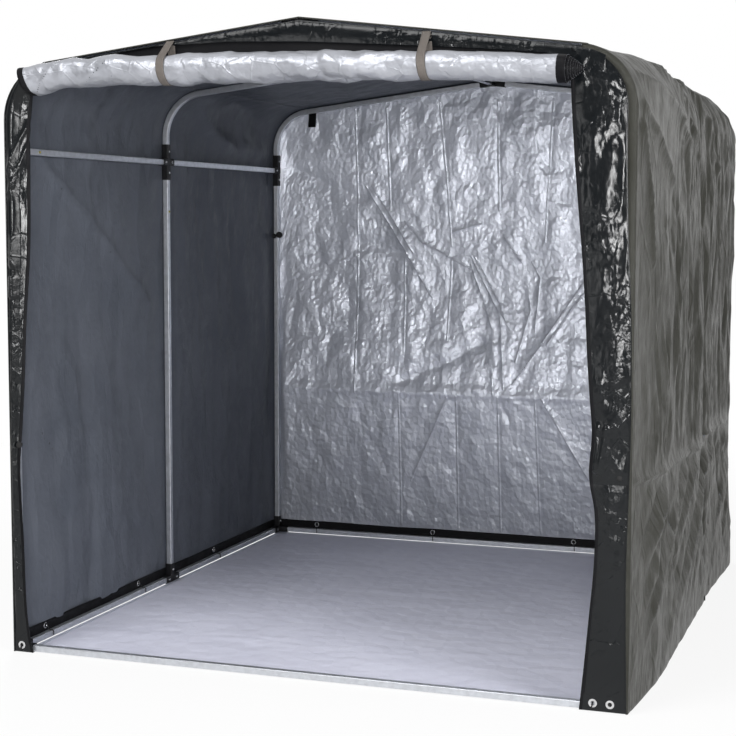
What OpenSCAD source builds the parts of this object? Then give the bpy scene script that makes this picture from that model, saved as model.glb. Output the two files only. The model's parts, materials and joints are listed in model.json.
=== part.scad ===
// Bike shelter: three arches of square tube under a tarpaulin cover,
// with a floor sheet and a door that is rolled up over the open front.
// X runs across the front, Y from front to back, Z up from the ground.

/* [Shelter] */
// Outside width of the cover
shelter_w = 2100; // [1600:10:2600]
// Outside depth of the cover, from the front flaps to the back wall
shelter_d = 2300; // [1600:10:3000]
// Height of the ridge above the ground
ridge_h = 2085; // [1800:5:2500]
// Slope of the roof in degrees
roof_pitch = 7; // [4:0.5:14]

/* [Frame tubes] */
// Outside width of the square tube
tube_w = 22; // [18:1:28]
// Wall of the tube
tube_wall = 1.5; // [1:0.1:2]
// Radius of the tube's rounded edges
tube_edge_r = 3; // [2.5:0.5:5]
// Radius of the eave bends at the middle of the tube
bend_r = 170; // [120:5:240]
// Length of the bent tube's leg along the roof
bend_leg = 310; // [200:10:400]
// Length of the plug that joins a rafter to its bent tube
plug_l = 60; // [30:5:90]
// Clearance of the plug in the bent tube
plug_clear = 0.2; // [0.1:0.05:0.4]
// Drop of the side rails below the start of the eave bends
rail_drop = 98; // [80:2:300]

/* [Connectors] */
// Wall of the connector sleeves
sleeve_wall = 2.7; // [2:0.1:4]
// Clearance of a tube in its sleeve
sleeve_clear = 0.3; // [0.2:0.05:0.5]
// Radius of the rounded edges of the connectors
sleeve_edge_r = 4; // [3:0.5:6]
// Length of the upright arms of a side connector
side_arm = 56; // [36:2:60]
// Length of the level arms of a side connector
rail_arm = 30; // [20:2:60]
// Length of the upright arm of a foot connector
foot_arm = 46; // [30:2:80]
// Length of the level arms of a foot connector
foot_bar_arm = 40; // [30:2:80]
// Length of the arms of a ridge connector
ridge_arm = 44; // [30:2:80]

/* [Cover] */
// Thickness of the tarpaulin
cover_t = 3; // [2:0.5:5]
// Gap between the cover and the frame
cover_gap = 0.3; // [0.2:0.1:0.8]
// Gap between the front flaps and the frame, room for the eyelets
front_gap = 4; // [3:0.5:8]
// Width of the right front flap
flap_w = 150; // [120:5:260]
// Width of the left front flap, which is folded back on itself
folded_flap_w = 80; // [70:5:150]
// Height of the hem along the foot of the walls
hem_h = 56; // [40:2:120]
// Thickness of the floor sheet
floor_t = 3; // [2:0.5:5]

/* [Rolled door] */
// Diameter of the roll
roll_d = 100; // [70:5:140]
// Overlap of the door on a front flap of full width
door_lap = 20; // [0:5:60]
// Drop of the middle of the roll below the ridge
roll_drop = 158; // [150:2:220]
// Width of the webbing straps
strap_w = 27; // [20:1:50]
// Thickness of the webbing
strap_t = 1.5; // [1:0.5:3]
// Distance from the middle of a strap to the end of the roll
strap_inset = 495; // [200:5:700]

/* [Eyelets] */
// Diameter of the eyelet's hole
eyelet_hole_d = 13; // [8:1:15]
// Diameter of the eyelet's rim
eyelet_rim_d = 26; // [22:1:32]
// Thickness of the eyelet's rim
eyelet_rim_t = 1; // [0.5:0.1:1.5]
// Wall of the eyelet's barrel
eyelet_wall = 1.5; // [1:0.1:2]
// Clearance of the eyelet in the flap
eyelet_clear = 0.2; // [0.1:0.05:0.4]
// Distance of the right flap's outer eyelet from the side of the cover
eyelet_edge = 54; // [40:2:60]
// Distance between the two eyelets of the right flap
eyelet_pitch = 52; // [34:2:58]
// Distance of the folded flap's eyelet from the side of the cover
folded_eyelet_edge = 34; // [24:2:44]
// Height of the eyelets above the ground
eyelet_h = 26; // [20:1:60]

/* [Hidden] */
$fn = 96;

// Overrun of every cut past the face that it goes through
overrun = 1;
// Steps of a rounded tube edge and of the eave curve in the flat panels
edge_steps = 4;
eave_steps = 28;

// Sides of the shelter
left = -1;
right = 1;

half_w = shelter_w / 2;
half_d = shelter_d / 2;

// Connector sleeves stand on the ground and carry the cover
sleeve_w = tube_w + 2 * (sleeve_wall + sleeve_clear);
socket_w = tube_w + 2 * sleeve_clear;
socket_edge_r = tube_edge_r + sleeve_clear;
bore_w = tube_w - 2 * tube_wall;
bore_edge_r = tube_edge_r - tube_wall;
plug_w = bore_w - 2 * plug_clear;
plug_edge_r = bore_edge_r - plug_clear;
plug_hole_w = plug_w - 2 * tube_wall;
sleeve_half = sleeve_w / 2;
// Distance from a connector's middle to the end of a tube in it
seat = sleeve_half + sleeve_clear;

// Middle lines of the frame
post_x = half_w - cover_t - cover_gap - sleeve_half;
front_y = -half_d + cover_t + front_gap + sleeve_half;
rear_y = half_d - cover_t - cover_gap - sleeve_half;
middle_y = (front_y + rear_y) / 2;
bar_z = sleeve_half;

// Eave bends and roof slope
bend_angle = 90 - roof_pitch;
bend_x = post_x - bend_r;
cover_r = bend_r + half_w - post_x;
eave_x = bend_x + cover_r * sin(roof_pitch);
bend_z = ridge_h - cover_r * cos(roof_pitch) - eave_x * tan(roof_pitch);
eave_z = bend_z + cover_r * cos(roof_pitch);
rafter_x = bend_x + bend_r * sin(roof_pitch);
rafter_z = bend_z + bend_r * cos(roof_pitch);
slope_l = rafter_x / cos(roof_pitch);
ridge_z = rafter_z + rafter_x * tan(roof_pitch);
rail_z = bend_z - rail_drop;
// The purlins lie low enough for their edges to clear the sloping cover
purlin_z = ridge_z - sleeve_half * tan(roof_pitch);

// Rolled door, hung in front of the cover on its straps
roll_r = roll_d / 2;
roll_l = shelter_w - 2 * (flap_w - door_lap);
roll_z = ridge_h - roll_drop;
strap_in_r = roll_r + cover_gap;
strap_out_r = strap_in_r + strap_t;
roll_y = -half_d - cover_gap - strap_out_r;
strap_x = roll_l / 2 - strap_inset;
strap_top_z = ridge_h - strap_x * tan(roof_pitch) - cover_t;

// Inside of the cover between the front flaps and the back wall
panel_l = shelter_d - 2 * cover_t;

// Corner points of a square with rounded edges
function rounded_square(w, r) = [
  for (corner = [0 : 3], step = [0 : edge_steps])
    let (turn = 90 * corner, a = turn + 90 * step / edge_steps, reach = w / 2 - r)
    [reach * (cos(turn) - sin(turn)) + r * cos(a), reach * (sin(turn) + cos(turn)) + r * sin(a)]
];

// Points of the right eave curve, from the wall up to the roof
function eave_curve(r) = [
  for (step = [0 : eave_steps])
    let (a = bend_angle * step / eave_steps)
    [bend_x + r * cos(a), bend_z + r * sin(a)]
];

function mirrored(points) = [for (i = [len(points) - 1 : -1 : 0]) [-points[i].x, points[i].y]];

// Mirrors the right-hand shape for the left side
module on_side(side) {
  if (side == left) mirror([1, 0, 0]) children();
  else children();
}

// Stands a shape along the right roof slope, a distance up from the eave bend
module on_slope(distance) {
  translate([rafter_x, 0, rafter_z])
    rotate([0, -bend_angle, 0])
      translate([0, 0, distance]) children();
}

// Lays a flat outline drawn in X and Z upright, with its rear face at y
module upright(y, thickness) {
  translate([0, y, 0])
    rotate([90, 0, 0]) linear_extrude(thickness) children();
}

module tube_section(w, edge_r, hole_w, hole_edge_r) {
  difference() {
    polygon(rounded_square(w, edge_r));
    polygon(rounded_square(hole_w, hole_edge_r));
  }
}

module frame_section() {
  tube_section(tube_w, tube_edge_r, bore_w, bore_edge_r);
}

// Square tube standing on its end
module tube(length) {
  linear_extrude(length) frame_section();
}

// Square tube along Y from one place to another
module tube_along_y(from, to) {
  translate([0, from, 0]) rotate([-90, 0, 0]) tube(to - from);
}

// Square tube along X, centred
module tube_along_x(length) {
  translate([-length / 2, 0, 0]) rotate([0, 90, 0]) tube(length);
}

// Arm of a connector, from its middle to the end of the arm along Z
module arm(length) {
  translate([0, 0, -sleeve_half])
    linear_extrude(sleeve_w + length) polygon(rounded_square(sleeve_w, sleeve_edge_r));
}

// Socket of that arm, from the seat of the tube outward
module socket(length) {
  translate([0, 0, sleeve_half])
    linear_extrude(length + overrun) polygon(rounded_square(socket_w, socket_edge_r));
}

module pointed(direction) {
  if (direction == "up") children();
  if (direction == "down") rotate([180, 0, 0]) children();
  if (direction == "front") rotate([90, 0, 0]) children();
  if (direction == "rear") rotate([-90, 0, 0]) children();
  if (direction == "inward") rotate([0, -90, 0]) children();
}

// Plastic connector with one sleeve for each direction
module connector(directions, lengths) {
  difference() {
    union() {
      for (i = [0 : len(directions) - 1]) pointed(directions[i]) arm(lengths[i]);
    }
    for (i = [0 : len(directions) - 1]) pointed(directions[i]) socket(lengths[i]);
  }
}

// Posts of the arches, from the foot connector to the side connector
module post(side, y) {
  bottom = bar_z + seat;
  color("lightslategray")
    on_side(side) translate([post_x, y, bottom]) tube(rail_z - seat - bottom);
}

// Bar that rises from the side connector, bends at the eave and runs up the roof
module bent_bar(w, edge_r, past_ends) {
  leg_bottom = rail_z + seat - past_ends;
  translate([post_x, 0, leg_bottom])
    linear_extrude(bend_z - leg_bottom) polygon(rounded_square(w, edge_r));
  translate([bend_x, 0, bend_z])
    rotate([90, 0, 0])
      rotate_extrude(angle = bend_angle)
        translate([bend_r, 0]) polygon(rounded_square(w, edge_r));
  on_slope(0) linear_extrude(bend_leg + past_ends) polygon(rounded_square(w, edge_r));
}

// Bent tube of an eave
module eave_tube(side, y) {
  color("lightslategray")
    on_side(side) translate([0, y, 0])
      difference() {
        bent_bar(tube_w, tube_edge_r, 0);
        bent_bar(bore_w, bore_edge_r, overrun);
      }
}

// Straight half of a roof arch, with the plug that enters the bent tube
module rafter(side, y) {
  start = bend_leg + plug_clear;
  on_side(side) translate([0, y, 0]) {
    on_slope(start) tube(slope_l - seat - start);
    on_slope(start)
      linear_extrude(tube_wall) tube_section(tube_w, tube_edge_r, plug_hole_w, plug_edge_r);
    on_slope(start - plug_l)
      linear_extrude(plug_l) tube_section(plug_w, plug_edge_r, plug_hole_w, plug_edge_r);
  }
}

module rafters(y) {
  color("lightslategray") {
    rafter(left, y);
    rafter(right, y);
  }
}

// Sleeves over both rafters at the ridge, with arms for the purlins
module ridge_connector(y, directions) {
  past_ridge = sleeve_half * tan(roof_pitch);
  color("dimgray")
    translate([0, y, 0])
      difference() {
        union() {
          for (side = [left, right]) on_side(side)
            on_slope(slope_l - sleeve_half - ridge_arm)
              linear_extrude(ridge_arm + sleeve_half + past_ridge)
                polygon(rounded_square(sleeve_w, sleeve_edge_r));
          for (direction = directions)
            translate([0, 0, purlin_z]) pointed(direction) arm(ridge_arm);
        }
        for (side = [left, right]) on_side(side)
          on_slope(slope_l - sleeve_half - ridge_arm - overrun)
            linear_extrude(ridge_arm + overrun) polygon(rounded_square(socket_w, socket_edge_r));
        for (direction = directions)
          translate([0, 0, purlin_z]) pointed(direction) socket(ridge_arm);
      }
}

module ridge_connectors() {
  ridge_connector(front_y, ["rear"]);
  ridge_connector(middle_y, ["front", "rear"]);
  ridge_connector(rear_y, ["front"]);
}

// Two tubes from front to back, seated in the connectors of the three arches
module bay_tubes() {
  color("lightslategray") {
    tube_along_y(front_y + seat, middle_y - seat);
    tube_along_y(middle_y + seat, rear_y - seat);
  }
}

module ridge_purlins() {
  translate([0, 0, purlin_z]) bay_tubes();
}

module side_rails(side) {
  on_side(side) translate([post_x, 0, rail_z]) bay_tubes();
}

module side_ground_bars(side) {
  on_side(side) translate([post_x, 0, bar_z]) bay_tubes();
}

module ground_bar(y) {
  color("lightslategray") translate([0, y, bar_z]) tube_along_x(2 * (post_x - seat));
}

module side_connectors(side) {
  color("dimgray") on_side(side) {
    translate([post_x, front_y, rail_z])
      connector(["up", "down", "rear"], [side_arm, side_arm, rail_arm]);
    translate([post_x, middle_y, rail_z])
      connector(["up", "down", "rear", "front"], [side_arm, side_arm, rail_arm, rail_arm]);
    translate([post_x, rear_y, rail_z])
      connector(["up", "down", "front"], [side_arm, side_arm, rail_arm]);
  }
}

module foot_connectors(side) {
  color("dimgray") on_side(side) {
    translate([post_x, front_y, bar_z])
      connector(["up", "inward", "rear"], [foot_arm, foot_bar_arm, foot_bar_arm]);
    translate([post_x, middle_y, bar_z])
      connector(["up", "front", "rear"], [foot_arm, foot_bar_arm, foot_bar_arm]);
    translate([post_x, rear_y, bar_z])
      connector(["up", "inward", "front"], [foot_arm, foot_bar_arm, foot_bar_arm]);
  }
}

// Outline of the whole cover, seen from the front
module cover_outline() {
  curve = concat([[half_w, 0]], eave_curve(cover_r));
  polygon(concat(curve, [[0, ridge_h]], mirrored(curve)));
}

// Part of the cover's outline between two heights
module cover_band(bottom, top) {
  intersection() {
    cover_outline();
    translate([-half_w, bottom]) square([shelter_w, top - bottom]);
  }
}

// Upright strip along a side wall
module wall_strip(side, bottom, top) {
  on_side(side)
    translate([half_w - cover_t, -half_d + cover_t, bottom]) cube([cover_t, panel_l, top - bottom]);
}

module wall(side) {
  color("darkslategray") wall_strip(side, hem_h, bend_z);
}

module side_hem(side) {
  color("black") wall_strip(side, 0, hem_h);
}

module back_wall() {
  color("silver") upright(half_d, cover_t) cover_band(hem_h, ridge_h);
}

module back_hem() {
  color("black") upright(half_d, cover_t) cover_band(0, hem_h);
}

// Curved cover over an eave
module eave_cover(side) {
  color("darkslategray")
    on_side(side)
      translate([bend_x, half_d - cover_t, bend_z])
        rotate([90, 0, 0])
          rotate_extrude(angle = bend_angle)
            translate([cover_r - cover_t, 0]) square([cover_t, panel_l]);
}

module roof(side) {
  inner_r = cover_r - cover_t;
  drop = cover_t / cos(roof_pitch);
  color("darkslategray")
    on_side(side)
      upright(half_d - cover_t, panel_l)
        polygon([
          [eave_x, eave_z],
          [0, ridge_h],
          [0, ridge_h - drop],
          [bend_x + inner_r * sin(roof_pitch), bend_z + inner_r * cos(roof_pitch)]
        ]);
}

// Gable strip of the front, which the rolled door hangs from
module front_valance() {
  color("black") upright(-half_d + cover_t, cover_t) cover_band(roll_z, ridge_h);
}

// Distances of a flap's eyelets from the side of the cover
function eyelet_edges(side) =
  side == left ? [folded_eyelet_edge] : [eyelet_edge, eyelet_edge + eyelet_pitch];

// Strip beside the open front, with holes for its eyelets
module front_flap(side) {
  width = side == left ? folded_flap_w : flap_w;
  hole_r = eyelet_hole_d / 2 + eyelet_wall + eyelet_clear;
  color("black")
    on_side(side)
      difference() {
        upright(-half_d + cover_t, cover_t)
          intersection() {
            cover_band(0, roll_z);
            translate([half_w - width, 0]) square([width, ridge_h]);
          }
        for (edge = eyelet_edges(side))
          translate([half_w - edge, -half_d + cover_t + overrun, eyelet_h])
            rotate([90, 0, 0]) cylinder(h = cover_t + 2 * overrun, r = hole_r);
      }
}

// Rolled rim on both faces of the flap, joined by a barrel
module eyelet() {
  hole_r = eyelet_hole_d / 2;
  barrel_r = hole_r + eyelet_wall;
  rim_r = eyelet_rim_d / 2;
  half_l = cover_t / 2 + eyelet_clear + eyelet_rim_t;
  rotate([90, 0, 0])
    difference() {
      union() {
        cylinder(h = 2 * half_l, r = barrel_r, center = true);
        for (end = [-1, 1])
          translate([0, 0, end * (half_l - eyelet_rim_t / 2)])
            cylinder(h = eyelet_rim_t, r = rim_r, center = true);
      }
      cylinder(h = 2 * (half_l + overrun), r = hole_r, center = true);
    }
}

module flap_eyelets() {
  color("gainsboro")
    for (side = [left, right], edge = eyelet_edges(side))
      on_side(side) translate([half_w - edge, -half_d + cover_t / 2, eyelet_h]) eyelet();
}

module floor_sheet() {
  reach_x = post_x - sleeve_half - cover_gap;
  from_y = front_y + sleeve_half + cover_gap;
  to_y = rear_y - sleeve_half - cover_gap;
  color("lightsteelblue")
    translate([-reach_x, from_y, 0]) cube([2 * reach_x, to_y - from_y, floor_t]);
}

module door_roll() {
  color("silver")
    translate([0, roll_y, roll_z])
      rotate([0, 90, 0]) cylinder(h = roll_l, r = roll_r, center = true);
}

// Webbing loop round the roll, with its tail up the valance
module door_strap(side) {
  tail_y = -half_d - cover_gap - strap_t;
  color("dimgray")
    on_side(side) {
      translate([strap_x, roll_y, roll_z])
        rotate([0, 90, 0])
          difference() {
            cylinder(h = strap_w, r = strap_out_r, center = true);
            cylinder(h = strap_w + 2 * overrun, r = strap_in_r, center = true);
          }
      translate([strap_x - strap_w / 2, tail_y, roll_z])
        cube([strap_w, strap_t, strap_top_z - roll_z]);
    }
}

post(left, front_y);  // front_left_post
post(right, front_y);  // front_right_post
post(left, middle_y);  // middle_left_post
post(right, middle_y);  // middle_right_post
post(left, rear_y);  // rear_left_post
post(right, rear_y);  // rear_right_post
eave_tube(left, front_y);  // front_left_eave_tube
eave_tube(right, front_y);  // front_right_eave_tube
eave_tube(left, middle_y);  // middle_left_eave_tube
eave_tube(right, middle_y);  // middle_right_eave_tube
eave_tube(left, rear_y);  // rear_left_eave_tube
eave_tube(right, rear_y);  // rear_right_eave_tube
rafters(front_y);  // front_rafters
rafters(middle_y);  // middle_rafters
rafters(rear_y);  // rear_rafters
ridge_connectors();
ridge_purlins();
side_rails(left);  // left_side_rails
side_rails(right);  // right_side_rails
side_connectors(left);  // left_side_connectors
side_connectors(right);  // right_side_connectors
foot_connectors(left);  // left_foot_connectors
foot_connectors(right);  // right_foot_connectors
ground_bar(front_y);  // front_ground_bar
ground_bar(rear_y);  // rear_ground_bar
side_ground_bars(left);  // left_ground_bars
side_ground_bars(right);  // right_ground_bars
wall(left);  // left_wall
wall(right);  // right_wall
back_wall();
eave_cover(left);  // left_eave_cover
eave_cover(right);  // right_eave_cover
roof(left);  // left_roof
roof(right);  // right_roof
front_valance();
front_flap(left);  // left_front_flap
front_flap(right);  // right_front_flap
side_hem(left);  // left_hem
side_hem(right);  // right_hem
back_hem();
floor_sheet();
door_roll();
door_strap(left);  // left_door_strap
door_strap(right);  // right_door_strap
flap_eyelets();
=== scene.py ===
"""Looks of the bike shelter: tarpaulin, rolled door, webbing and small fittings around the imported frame."""

import itertools
import json
import math

import bpy
import numpy as np
from mathutils import Euler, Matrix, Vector


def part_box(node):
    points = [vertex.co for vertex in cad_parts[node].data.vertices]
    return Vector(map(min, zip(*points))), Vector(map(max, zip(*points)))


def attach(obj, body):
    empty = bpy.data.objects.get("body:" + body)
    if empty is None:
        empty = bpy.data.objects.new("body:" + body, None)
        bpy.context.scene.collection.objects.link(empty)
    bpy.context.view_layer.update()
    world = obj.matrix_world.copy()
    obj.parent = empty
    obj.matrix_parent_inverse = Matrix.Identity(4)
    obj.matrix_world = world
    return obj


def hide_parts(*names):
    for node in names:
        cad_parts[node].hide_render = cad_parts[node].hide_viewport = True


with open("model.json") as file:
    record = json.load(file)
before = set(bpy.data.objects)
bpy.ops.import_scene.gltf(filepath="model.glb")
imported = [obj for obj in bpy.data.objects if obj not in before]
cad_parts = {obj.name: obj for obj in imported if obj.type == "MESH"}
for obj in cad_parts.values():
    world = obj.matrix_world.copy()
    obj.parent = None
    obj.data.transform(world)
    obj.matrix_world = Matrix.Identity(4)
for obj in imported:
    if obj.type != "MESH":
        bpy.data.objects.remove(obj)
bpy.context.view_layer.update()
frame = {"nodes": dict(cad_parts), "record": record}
cad_nodes = frame["nodes"]


def low(node):
    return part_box(node)[0]


def high(node):
    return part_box(node)[1]


def middle(node):
    return (low(node) + high(node)) / 2


# Places of the frame, in metres. The photograph is square, and its lens is known in pixels.
IMAGE_PX = 736
LENS_PX = 1612.3
SENSOR_MM = 36
EYE = (1.886, -5.816, 1.46)
EYE_YAW, EYE_PITCH, EYE_ROLL = (math.radians(a) for a in (19.557, -5.199, -0.09))

ROOF_PITCH = math.radians(7)
HALF_W = high("right_wall").x
COVER_T = HALF_W - low("right_wall").x
FRONT_Y = low("right_front_flap").y
BACK_Y = high("back_wall").y
BEND_Z = high("right_wall").z
RIDGE_Z = high("right_roof").z
BEND_R = (high("right_eave_cover").z - BEND_Z) / math.cos(ROOF_PITCH)
BEND_X = HALF_W - BEND_R
POST_X = middle("front_right_post").x
TUBE_HALF = high("front_right_post").x - POST_X
ARCH_Y = [middle(f"{arch}_right_post").y for arch in ("front", "middle", "rear")]
RAIL_Z = middle("left_side_rails").z
BAR_Z = middle("front_ground_bar").z
SLEEVE_HALF = BAR_Z - low("left_foot_connectors").z
ROLL_Y, ROLL_Z = middle("door_roll").y, middle("door_roll").z
HEM_Z = high("left_hem").z
CLOTH_T, FLAP_T, DOOR_T, HEM_T, FLOOR_T, WEBBING_T, PIPING_R = 0.0016, 0.0018, 0.0009, 0.0009, 0.0012, 0.0015, 0.0017
# Columns and rows of the sheets' grids, and the sizes that the sheets are cut to
GRID = {"right_side_cover": (225, 200), "left_side_cover": (140, 100), "roof": (100, 46), "back": (184, 224),
        "right_flap": (46, 600), "left_flap": (30, 560), "valance": (430, 18), "floor": (80, 88), "hem": (170, 7)}
VALANCE_SHARE, STRAP_LENGTH, DOOR_COLUMNS, BEND_STEPS = 0.33, 0.42, 262, 14
SEAM_GIRTH = BEND_Z + BEND_R * (math.pi / 2 - ROOF_PITCH)
SEAM_X = BEND_X + BEND_R * math.sin(ROOF_PITCH)


def smooth(t):
    t = np.clip(t, 0, 1)
    return t * t * (3 - 2 * t)


def hump(away, width):
    return np.exp(-(away / width) ** 2)


def peak(away, width):
    return np.exp(-np.abs(away) / width)


def points_at(x, y, z):
    """Array of points from their coordinates, each a number or an array."""
    return np.stack(np.broadcast_arrays(x, y, z), axis=-1)


def ramp(place, points):
    """Straight lines through (place, value) points."""
    places, values = zip(*points)
    return np.interp(place, places, values)


def curve(place, points):
    """Soft curve through (place, value) points."""
    places, values = (np.array(a, float) for a in zip(*points))
    place = np.clip(place, places[0], places[-1])
    slopes = np.gradient(values, places)
    i = np.clip(np.searchsorted(places, place, side="right") - 1, 0, len(places) - 2)
    span = places[i + 1] - places[i]
    t = (place - places[i]) / span
    return ((1 + 2 * t) * (1 - t) ** 2 * values[i] + t * (1 - t) ** 2 * span * slopes[i]
            + t * t * (3 - 2 * t) * values[i + 1] + t * t * (t - 1) * span * slopes[i + 1])


LATTICE, NOISE_GAIN = 128, 1.6


def noise(x, y, seed):
    """Smooth seeded noise from about -1 to 1, with features about one unit across."""
    angle = np.random.default_rng(seed).uniform(0, 2 * np.pi, (LATTICE, LATTICE))
    x, y = np.broadcast_arrays(x, y)
    xi, yi = np.floor(x).astype(int), np.floor(y).astype(int)
    fx, fy = x - xi, y - yi

    def corner(dx, dy):
        a = angle[(xi + dx) % LATTICE, (yi + dy) % LATTICE]
        return np.cos(a) * (fx - dx) + np.sin(a) * (fy - dy)

    sx, sy = (f ** 3 * (f * (f * 6 - 15) + 10) for f in (fx, fy))
    near = corner(0, 0) * (1 - sx) + corner(1, 0) * sx
    far = corner(0, 1) * (1 - sx) + corner(1, 1) * sx
    return NOISE_GAIN * (near * (1 - sy) + far * sy)


def pleats(across, along, pitch, seed, wander=0.5, reach=9):
    """Folds that run along, about a pitch apart, and fade in and out."""
    bent = across / pitch + wander * noise(across / (4 * pitch), along / (reach * pitch), seed + 1)
    return noise(bent, along / (reach * pitch), seed)


def nearest_point(p, q, seed):
    """Half the squared distance to the nearest of scattered points, one to each unit square."""
    shift = np.random.default_rng(seed).uniform(0, 1, (2, LATTICE, LATTICE))
    pi, qi = np.floor(p).astype(int), np.floor(q).astype(int)
    best = np.full(p.shape, np.inf)
    for i, j in itertools.product((-1, 0, 1), repeat=2):
        cell = (pi + i) % LATTICE, (qi + j) % LATTICE
        best = np.minimum(best, (p - pi - i - shift[0][cell]) ** 2 + (q - qi - j - shift[1][cell]) ** 2)
    return best / 2


def foil(u, v, size, seed, stretch=1.0):
    """Flat facets about a size across that meet in sharp folds, as in crumpled foil, with slopes of about a half."""
    p, q = np.broadcast_arrays(u / size, v / (size * stretch))
    return size * (nearest_point(p, q, seed) - nearest_point(p, q, seed + 500))


def crease(u, v, points, width, fade=0.12):
    """Sharp fold along a line through points: 1 on the line, and gone a few widths away and at its ends."""
    away, place, run = np.inf, 0, 0
    for (u0, v0), (u1, v1) in zip(points, points[1:]):
        length = math.hypot(u1 - u0, v1 - v0)
        t = np.clip(((u - u0) * (u1 - u0) + (v - v0) * (v1 - v0)) / length ** 2, 0, 1)
        distance = np.hypot(u - u0 - t * (u1 - u0), v - v0 - t * (v1 - v0))
        place = np.where(distance < away, run + t * length, place)
        away = np.minimum(away, distance)
        run += length
    share = place / run
    return peak(away, width) * smooth(np.minimum(share, 1 - share) / fade)


def creases(u, v, lines, width):
    return sum(crease(u, v, points, width) for points in lines)


def star(u, v, centre, arms, reach, width, seed):
    """Creases that run out from one point."""
    rng = np.random.default_rng(seed)
    total = 0
    for arm in range(arms):
        angle = 2 * math.pi * (arm + rng.uniform(-0.3, 0.3)) / arms
        length = reach * rng.uniform(0.5, 1)
        way = np.array((math.cos(angle), math.sin(angle)))
        start, end = (centre + share * length * way for share in (0.1, 1))
        total = total + rng.uniform(0.5, 1) * rng.choice([-1, 1]) * crease(u, v, [start, end], width, 0.3)
    return total


def new_object(name, data):
    obj = bpy.data.objects.new(name, data)
    bpy.context.scene.collection.objects.link(obj)
    return obj


def mesh_piece(name, verts, faces, marks, materials, uv=None):
    """Smooth mesh object from vertices, quads and a material number for each quad."""
    mesh = bpy.data.meshes.new(name)
    mesh.vertices.add(len(verts))
    mesh.vertices.foreach_set("co", np.asarray(verts, np.float32).ravel())
    mesh.loops.add(faces.size)
    mesh.loops.foreach_set("vertex_index", faces.astype(np.int32).ravel())
    mesh.polygons.add(len(faces))
    mesh.polygons.foreach_set("loop_start", np.arange(0, faces.size, 4, dtype=np.int32))
    mesh.polygons.foreach_set("material_index", np.asarray(marks, np.int32))
    mesh.polygons.foreach_set("use_smooth", np.ones(len(faces), bool))
    if uv is not None:
        layer = mesh.uv_layers.new(name="metres")
        layer.data.foreach_set("uv", uv[faces.ravel()].astype(np.float32).ravel())
    mesh.update(calc_edges=True)
    mesh.validate()
    for item in materials:
        mesh.materials.append(item)
    return new_object(name, mesh)


def cloth(name, grid, materials, thickness=CLOTH_T, keep=None, front_marks=0):
    """Closed thin sheet on a grid of points. Its front is where rows crossed with columns point."""
    rows, cols = grid.shape[:2]
    normal = np.cross(np.gradient(grid, axis=0), np.gradient(grid, axis=1))
    normal /= np.maximum(np.linalg.norm(normal, axis=2, keepdims=True), 1e-12)
    verts = np.concatenate([(grid + normal * thickness / 2).reshape(-1, 3),
                            (grid - normal * thickness / 2).reshape(-1, 3)])
    steps = [np.linalg.norm(np.diff(grid, axis=a), axis=2).mean(axis=1 - a) for a in (0, 1)]
    along = [np.concatenate([[0], np.cumsum(s)]) for s in steps]
    flat = np.stack(np.meshgrid(along[1], along[0]), axis=2).reshape(-1, 2)
    uv = np.concatenate([flat, flat])
    keep = np.ones((rows - 1, cols - 1), bool) if keep is None else keep
    front_marks = np.broadcast_to(front_marks, keep.shape)[keep]

    index = np.arange(rows * cols).reshape(rows, cols)
    quads = np.stack([index[:-1, :-1], index[1:, :-1], index[1:, 1:], index[:-1, 1:]], axis=2)
    front = quads[keep]
    back = front[:, ::-1] + rows * cols
    padded = np.pad(keep, 1)
    rims = []
    for side, (di, dj) in enumerate(((0, -1), (1, 0), (0, 1), (-1, 0))):
        beyond = padded[1 + di:rows + di, 1 + dj:cols + dj]
        edge = quads[keep & ~beyond]
        a, b = edge[:, side], edge[:, (side + 1) % 4]
        rims.append(np.stack([b, a, a + rows * cols, b + rows * cols], axis=1))
    rims = np.concatenate(rims)
    faces = np.concatenate([front, back, rims])
    marks = np.concatenate([front_marks, np.ones(len(back), int), np.zeros(len(rims), int)])
    used, faces = np.unique(faces, return_inverse=True)
    return mesh_piece(name, verts[used], faces.reshape(-1, 4), marks, materials, uv[used])


def around(sides):
    return np.arange(sides) * 2 * np.pi / sides


def circle(sides, first, second):
    """Unit circles in the plane of two directions, or of each pair of them."""
    turn = around(sides)[None, :, None]
    return np.cos(turn) * first + np.sin(turn) * second


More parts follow.
